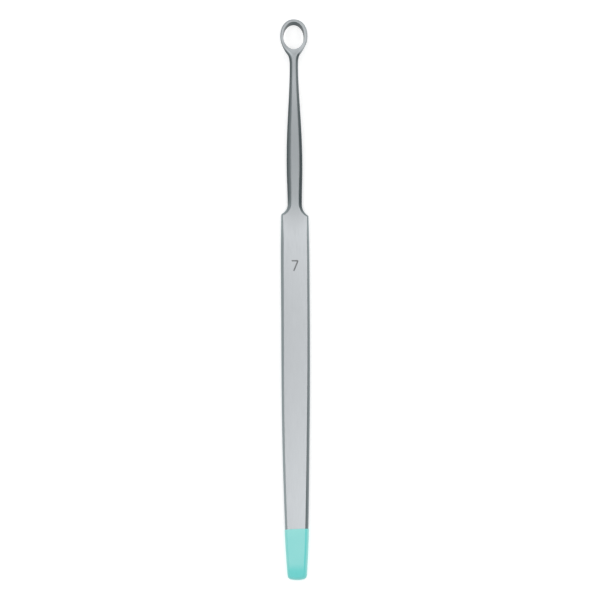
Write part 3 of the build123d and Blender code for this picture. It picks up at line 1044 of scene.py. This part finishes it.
def figure_surface(shape, sizes):
    """Points, faces and values of the etched figure: a low rounded ridge along its middle line.

    Across the line the height falls off as the fourth root of one less the square of the share.
    Over the round ends the width and the height fall off as the square root of the same.
    """
    end_rows, ridge_columns = 7, 9
    line = stroke_line(sizes)
    along = path_length(line)
    half = sizes.stroke / 2
    turn = np.linspace(0, math.pi / 2, end_rows)
    stations = np.concatenate([-half * np.cos(turn)[:-1], along, along[-1] + half * np.sin(turn)[1:]])
    inner = np.clip(stations, 0, along[-1])
    middle, heading = (
        np.stack([np.interp(inner, along, part[:, axis]) for axis in (0, 1)], axis=1)
        for part in (line, tangents(line))
    )
    heading = unit(heading)
    middle = middle + heading * (stations - inner)[:, None]
    spread = half * np.sqrt(np.clip(1 - ((stations - inner) / half) ** 2, 0, 1))
    across = heading[:, ::-1] * np.array([1.0, -1.0])
    turns = np.linspace(0, math.pi, ridge_columns)
    side = -np.cos(turns)
    flat = middle[:, None, :] + across[:, None, :] * (spread[:, None] * side[None, :])[..., None]
    height = sizes.relief * np.sin(turns)[None, :] ** 0.5 * (spread / half)[:, None]
    base = shape.origin_z + shape.sizes.handle_thickness
    top = np.concatenate([flat, (base + height)[..., None]], axis=-1)
    under = np.concatenate([flat, np.full(flat.shape[:2] + (1,), base - sizes.relief)], axis=-1)
    wrapped = np.concatenate([top, under[:, ::-1], top[:, :1]], axis=1)
    rows, columns = wrapped.shape[:2]
    points = wrapped.reshape(-1, 3) + np.array([0.0, sizes.place, 0.0])
    faces = grid_faces(rows, columns)
    return points, faces, {"along": np.repeat(stations, columns)}


# Materials


def feed(tree, node, links):
    """Sets inputs of a node. Links are pairs of an input's name or number and a socket or value."""
    for name, source in links:
        if isinstance(source, bpy.types.NodeSocket):
            tree.links.new(source, node.inputs[name])
        else:
            node.inputs[name].default_value = source


def add_node(tree, kind, links=(), **settings):
    """Adds a node with its settings, and feeds its inputs."""
    node = tree.nodes.new(kind)
    for name, value in settings.items():
        setattr(node, name, value)
    feed(tree, node, links)
    return node


def maths(tree, operation, first, second):
    """What an operation makes of two values."""
    return add_node(tree, "ShaderNodeMath", [(0, first), (1, second)], operation=operation).outputs[0]


def mixed(tree, share, first, second, blend="MIX"):
    """Lays a second colour over the first one by a share."""
    links = [(0, share), (6, first), (7, second)]
    mix = add_node(tree, "ShaderNodeMix", data_type="RGBA", blend_type=blend, clamp_factor=True)
    feed(tree, mix, links)
    return mix.outputs[2]


def ranged(tree, value, low, high, new_low, new_high, **settings):
    """Carries a value from one range to another, clamped at both ends."""
    names = ("Value", "From Min", "From Max", "To Min", "To Max")
    links = zip(names, (value, low, high, new_low, new_high))
    return add_node(tree, "ShaderNodeMapRange", links, **settings).outputs[0]


def eased(tree, value):
    """Gives a mask a level start and end."""
    return ranged(tree, value, 0.0, 1.0, 0.0, 1.0, interpolation_type="SMOOTHSTEP")


def flecked(tree, noise_value, base, flecks, most):
    """Lays a colour over a base where a noise is high, by at most the given share."""
    return mixed(tree, ranged(tree, noise_value, *NOISE_MIDDLE, 0.0, most), base, flecks)


def noise(tree, place, scale, detail, roughness=0.5):
    """A noise over places."""
    links = [("Vector", place), ("Scale", scale), ("Detail", detail), ("Roughness", roughness)]
    return add_node(tree, "ShaderNodeTexNoise", links).outputs["Fac"]


def read_value(tree, name):
    """What the mesh says at each point under a name."""
    return add_node(tree, "ShaderNodeAttribute", attribute_name=name).outputs["Fac"]


def opaque(colour, strength=1.0):
    """A colour with its fourth value, made darker or paler by its strength."""
    return (*(strength * part for part in colour), 1.0)


def shared_group(name, inputs, outputs, build):
    """A shader node group, which is made once. Its inputs are a place and some values, and the build
    function returns what feeds each output."""
    found = bpy.data.node_groups.get(name)
    if found:
        return found
    tree = bpy.data.node_groups.new(name, "ShaderNodeTree")
    tree.interface.new_socket("Vector", in_out="INPUT", socket_type="NodeSocketVector")
    for label in inputs:
        tree.interface.new_socket(label, in_out="INPUT", socket_type="NodeSocketFloat")
    for label in outputs:
        tree.interface.new_socket(label, in_out="OUTPUT", socket_type="NodeSocketFloat")
    results = build(tree, add_node(tree, "NodeGroupInput").outputs)
    add_node(tree, "NodeGroupOutput", zip(outputs, results))
    return tree


def drawn_grain(tree, given):
    """Fine lines along the instrument, and broad soft patches: two noises over object places,
    one much finer across than along, the other even. Both together give a height."""
    line_part, patch_part = 0.7, 0.3
    finer = [("X", given["Lines"]), ("Y", given["Length"]), ("Z", given["Lines"])]
    scale = add_node(tree, "ShaderNodeCombineXYZ", finer).outputs[0]
    links = [(0, given["Vector"]), (1, scale)]
    stretched = add_node(tree, "ShaderNodeVectorMath", links, operation="MULTIPLY").outputs[0]
    lines = noise(tree, stretched, scale=1.0, detail=3.0, roughness=0.6)
    patches = noise(tree, given["Vector"], given["Patches"], detail=2.0)
    line_height = maths(tree, "MULTIPLY", lines, line_part)
    return lines, patches, maths(tree, "ADD", line_height, maths(tree, "MULTIPLY", patches, patch_part))


def worn_edge(tree, given):
    """Wear on edges: the edge mask, broken up by a noise and sharpened."""
    spot_middle, least, sharpened = (0.35, 0.65), 0.45, (0.1, 0.9)
    spots = noise(tree, given["Vector"], given["Spots"], detail=4.0, roughness=0.6)
    broken = maths(tree, "MULTIPLY", given["Edge"], ranged(tree, spots, *spot_middle, least, 1.0))
    return (ranged(tree, broken, *sharpened, 0.0, 1.0),)


def grained(tree, place, lines, length, patches):
    """The drawn grain with a material's own scales across and along."""
    outputs = ("Line", "Patch", "Height")
    group = shared_group("Drawn grain", ("Lines", "Length", "Patches"), outputs, drawn_grain)
    links = [("Vector", place), ("Lines", lines), ("Length", length), ("Patches", patches)]
    return add_node(tree, "ShaderNodeGroup", links, node_tree=group).outputs


def worn(tree, place, spots):
    """The wear on a piece's edges, with a material's own scale of spots."""
    group = shared_group("Worn edge", ("Edge", "Spots"), ("Wear",), worn_edge)
    links = [("Vector", place), ("Edge", read_value(tree, "wear")), ("Spots", spots)]
    return add_node(tree, "ShaderNodeGroup", links, node_tree=group).outputs[0]


def bumped(tree, grain, strength, depth):
    """The grain's height as a bump."""
    links = [("Strength", strength), ("Distance", depth), ("Height", grain["Height"])]
    return add_node(tree, "ShaderNodeBump", links).outputs[0]


def new_material(name):
    """A material with a principled shader alone. Also gives the places that its patterns read."""
    material = bpy.data.materials.new(name)
    material.use_nodes = True
    tree = material.node_tree
    tree.nodes.clear()
    shader = add_node(tree, "ShaderNodeBsdfPrincipled")
    add_node(tree, "ShaderNodeOutputMaterial", [(0, shader.outputs[0])])
    place = add_node(tree, "ShaderNodeTexCoord").outputs["Object"]
    return material, tree, shader, place


def steel_material(finish):
    """Satin steel: pale faces with painted light and shade along the steel, flanks and bevels darkened by
    painted shade, the wall inside the loop painted dark as shade, drawn grain and slightly polished edges.
    """
    material, tree, shader, place = new_material("Satin steel")
    grain = grained(tree, place, lines=9000.0, length=260.0, patches=90.0)
    wear = worn(tree, place, spots=900.0)
    # Painted shade: the flank share darkens the flanks and bevels
    flank_shade = read_value(tree, "flank_shade")
    # Painted light and shade: the face colour is scaled by the tone along the steel
    links = [(0, finish.face), ("Scale", read_value(tree, "tone"))]
    face = add_node(tree, "ShaderNodeVectorMath", links, operation="SCALE").outputs[0]
    tinted = mixed(tree, read_value(tree, "ground"), face, opaque(finish.ground_tint), blend="MULTIPLY")
    flank_shaded = mixed(tree, eased(tree, flank_shade), tinted, opaque(finish.flank_shade))
    # Painted shade: the hole colour over the wall inside the loop
    hole_shade_share = maths(tree, "MULTIPLY", read_value(tree, "inside"), flank_shade)
    hole_shaded = mixed(tree, hole_shade_share, flank_shaded, opaque(finish.hole))
    patchy = flecked(tree, grain["Patch"], hole_shaded, opaque(finish.face, strength=0.75), most=0.12)
    lined = flecked(tree, grain["Line"], patchy, opaque(finish.face, strength=0.7), most=0.14)
    shine = maths(tree, "MULTIPLY", wear, finish.edge_shine)
    smoother, rougher, smoother_edge = 0.05, 0.06, 0.08
    least, most = finish.roughness - smoother, finish.roughness + rougher
    rough = ranged(tree, grain["Line"], *NOISE_WIDE, least, most)
    links = [
        ("Base Color", mixed(tree, shine, lined, opaque(finish.edge))),
        ("Metallic", 1.0),
        ("Roughness", maths(tree, "SUBTRACT", rough, maths(tree, "MULTIPLY", wear, smoother_edge))),
        ("Normal", bumped(tree, grain, strength=0.5, depth=finish.grain_depth)),
    ]
    feed(tree, shader, links)
    return material


def coat_material(coat, coat_length):
    """Smooth dipped coat: a soft gloss, faint unevenness of its thickness, paler thin edges, painted light on
    its sides and painted shade along its long bevels.
    """
    material, tree, shader, place = new_material("Dipped coat")
    grain = grained(tree, place, lines=1400.0, length=900.0, patches=220.0)
    wear = worn(tree, place, spots=700.0)
    deepest_share, paleness, worn_paleness, thin_paleness = 0.43, 0.3, 0.3, 0.5
    glossiest, dullest = 0.34, 0.46
    along = read_value(tree, "along")
    deeper = eased(tree, ranged(tree, along, deepest_share * coat.gathered, coat.gathered, 1.0, 0.0))
    base = mixed(tree, deeper, opaque(coat.colour), opaque(coat.deep_colour))
    near_steel = ranged(tree, along, coat_length - coat.pale_length, coat_length, 0.0, paleness)
    topped = mixed(tree, near_steel, base, opaque(coat.thin_colour))
    # Painted shade along the long bevels
    bevel_shaded = mixed(tree, read_value(tree, "bevel"), topped, opaque(coat.bevel_shade_colour))
    patchy = flecked(tree, grain["Patch"], bevel_shaded, opaque(coat.deep_colour), most=0.12)
    worn_pale = maths(tree, "MULTIPLY", wear, worn_paleness)
    # Paler at the thin lip and, as painted light, on the sides
    thin_pale_and_painted_light = maths(tree, "MULTIPLY", read_value(tree, "thin"), thin_paleness)
    pale = maths(tree, "ADD", worn_pale, thin_pale_and_painted_light)
    links = [
        ("Base Color", mixed(tree, pale, patchy, opaque(coat.thin_colour))),
        ("Roughness", ranged(tree, grain["Patch"], *NOISE_WIDE, glossiest, dullest)),
        ("Normal", bumped(tree, grain, strength=0.25, depth=0.01 * MM)),
    ]
    feed(tree, shader, links)
    return material


def figure_material(figure):
    """Laser-etched oxide: dark, dull and slightly uneven along its strokes."""
    material, tree, shader, place = new_material("Etched oxide")
    grain = grained(tree, place, lines=9000.0, length=5000.0, patches=1500.0)
    paler = opaque(figure.colour, strength=1.5)
    glossiest, dullest = 0.55, 0.75
    links = [
        ("Base Color", flecked(tree, grain["Patch"], opaque(figure.colour), paler, most=0.4)),
        ("Metallic", 0.5),
        ("Roughness", ranged(tree, grain["Line"], *NOISE_MIDDLE, glossiest, dullest)),
        ("Normal", bumped(tree, grain, strength=0.4, depth=0.005 * MM)),
    ]
    feed(tree, shader, links)
    return material


def floor_material(colour, white_lift):
    """Plain pale floor with barely visible mottling, which shows as white and keeps its shadows."""
    material, tree, shader, place = new_material("Pale floor")
    mottling = noise(tree, place, scale=3.0, detail=2.0)
    path = add_node(tree, "ShaderNodeLightPath").outputs
    mirrored = maths(tree, "MAXIMUM", path["Is Glossy Ray"], path["Is Transmission Ray"])
    seen = maths(tree, "MAXIMUM", path["Is Camera Ray"], mirrored)
    links = [
        ("Base Color", mixed(tree, mottling, opaque(colour), opaque(colour, strength=0.985))),
        ("Roughness", 0.9),
        ("Specular IOR Level", 0.0),
        ("Emission Color", (1.0, 1.0, 1.0, 1.0)),
        ("Emission Strength", maths(tree, "MULTIPLY", seen, white_lift)),
    ]
    feed(tree, shader, links)
    return material


def finished(piece, material):
    """Gives a piece its material and the body that it rides on."""
    piece.data.materials.append(material)
    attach(piece, ROOT)


# Stage


def add_floor(sizes):
    """A round pale floor just under the object."""
    rim_points = 96
    turn = np.linspace(0, 2 * math.pi, rim_points + 1)[:-1]
    across, along = sizes.floor_radius * np.cos(turn), sizes.floor_radius * np.sin(turn)
    rim = np.stack([across, along, np.full(rim_points, -sizes.floor_gap)], axis=1)
    mesh = bpy.data.meshes.new("floor")
    mesh.from_pydata(rim.tolist(), [], [list(range(rim_points))])
    mesh.materials.append(floor_material(sizes.floor_colour, sizes.white_lift))
    linked("floor", mesh)


def add_lamp(sizes):
    """A wide soft light overhead, as bright as its area asks for."""
    lamp = bpy.data.lights.new("overhead_light", "AREA")
    lamp.shape = "RECTANGLE"
    lamp.size, lamp.size_y = sizes.lamp_width, sizes.lamp_depth
    lamp.energy = sizes.lamp_level * math.pi * sizes.lamp_width * sizes.lamp_depth
    linked("overhead_light", lamp).location = (0.0, sizes.lamp_shift, sizes.lamp_height)


def add_surroundings(level):
    """Even grey surroundings."""
    world = bpy.data.worlds.new("studio")
    world.use_nodes = True
    world.node_tree.nodes["Background"].inputs["Color"].default_value = opaque([level] * 3)
    bpy.context.scene.world = world


def add_camera(sizes):
    """A camera straight over the object, whose picture shows the given height there."""
    camera = bpy.data.cameras.new("camera")
    camera.sensor_width = 36.0
    camera.lens = camera.sensor_width * sizes.camera_height / sizes.view_height
    holder = linked("camera", camera)
    holder.location = (sizes.aim_x, sizes.aim_y, sizes.camera_height)
    holder.rotation_euler = (0, 0, sizes.camera_roll)
    bpy.context.scene.camera = holder


# Operators and panel


class CURETTE_OT_steel(bpy.types.Operator):
    """Builds the one-piece steel body: handle, shoulders, shank, neck and loop"""

    bl_idname = "curette.steel"
    bl_label = "Steel Body"

    def execute(self, context):
        settings = context.scene.curette
        piece = new_mesh("steel_body", *steel_surface(settings.steel))
        finished(piece, steel_material(settings.finish))
        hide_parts("curette_body")
        return {"FINISHED"}


class CURETTE_OT_coat(bpy.types.Operator):
    """Builds the thin coloured coat over the handle's end"""

    bl_idname = "curette.coat"
    bl_label = "End Coat"

    def execute(self, context):
        settings = context.scene.curette
        piece = new_mesh("coat_shell", *coat_surface(settings.steel, settings.coat))
        finished(piece, coat_material(settings.coat, settings.steel.coat_length))
        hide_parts("end_coat")
        return {"FINISHED"}


class CURETTE_OT_figure(bpy.types.Operator):
    """Builds the etched size figure on the handle's front"""

    bl_idname = "curette.figure"
    bl_label = "Size Figure"

    def execute(self, context):
        settings = context.scene.curette
        shape = SteelShape(settings.steel)
        piece = new_mesh("size_figure", *figure_surface(shape, settings.figure))
        finished(piece, figure_material(settings.figure))
        return {"FINISHED"}


class CURETTE_OT_stage(bpy.types.Operator):
    """Adds the floor, the soft light and the camera"""

    bl_idname = "curette.stage"
    bl_label = "Stage"

    def execute(self, context):
        sizes = context.scene.curette.stage
        add_floor(sizes)
        add_lamp(sizes)
        add_surroundings(sizes.world_level)
        add_camera(sizes)
        context.scene.view_settings.view_transform = "Standard"
        return {"FINISHED"}


class CURETTE_PT_panel(bpy.types.Panel):
    """Lists the pieces of the curette"""

    bl_idname = "CURETTE_PT_panel"
    bl_label = "Ring Curette"
    bl_space_type = "VIEW_3D"
    bl_region_type = "UI"
    bl_category = "Curette"

    def draw(self, context):
        for operator in STEPS:
            self.layout.operator(operator.bl_idname)


STEPS = (CURETTE_OT_steel, CURETTE_OT_coat, CURETTE_OT_figure, CURETTE_OT_stage)
SETTINGS = (SteelSizes, CoatSizes, FigureSizes, SteelFinish, StageSizes, CuretteSettings)
CLASSES = (*SETTINGS, *STEPS, CURETTE_PT_panel)


def register():
    for cls in CLASSES:
        bpy.utils.register_class(cls)
    bpy.types.Scene.curette = PointerProperty(
        type=CuretteSettings, name="Curette", description="Settings of the curette"
    )


def unregister():
    del bpy.types.Scene.curette
    for cls in reversed(CLASSES):
        bpy.utils.unregister_class(cls)


def main():
    register()
    bpy.ops.curette.steel()
    bpy.ops.curette.coat()
    bpy.ops.curette.figure()
    bpy.ops.curette.stage()


if __name__ == "__main__":
    main()
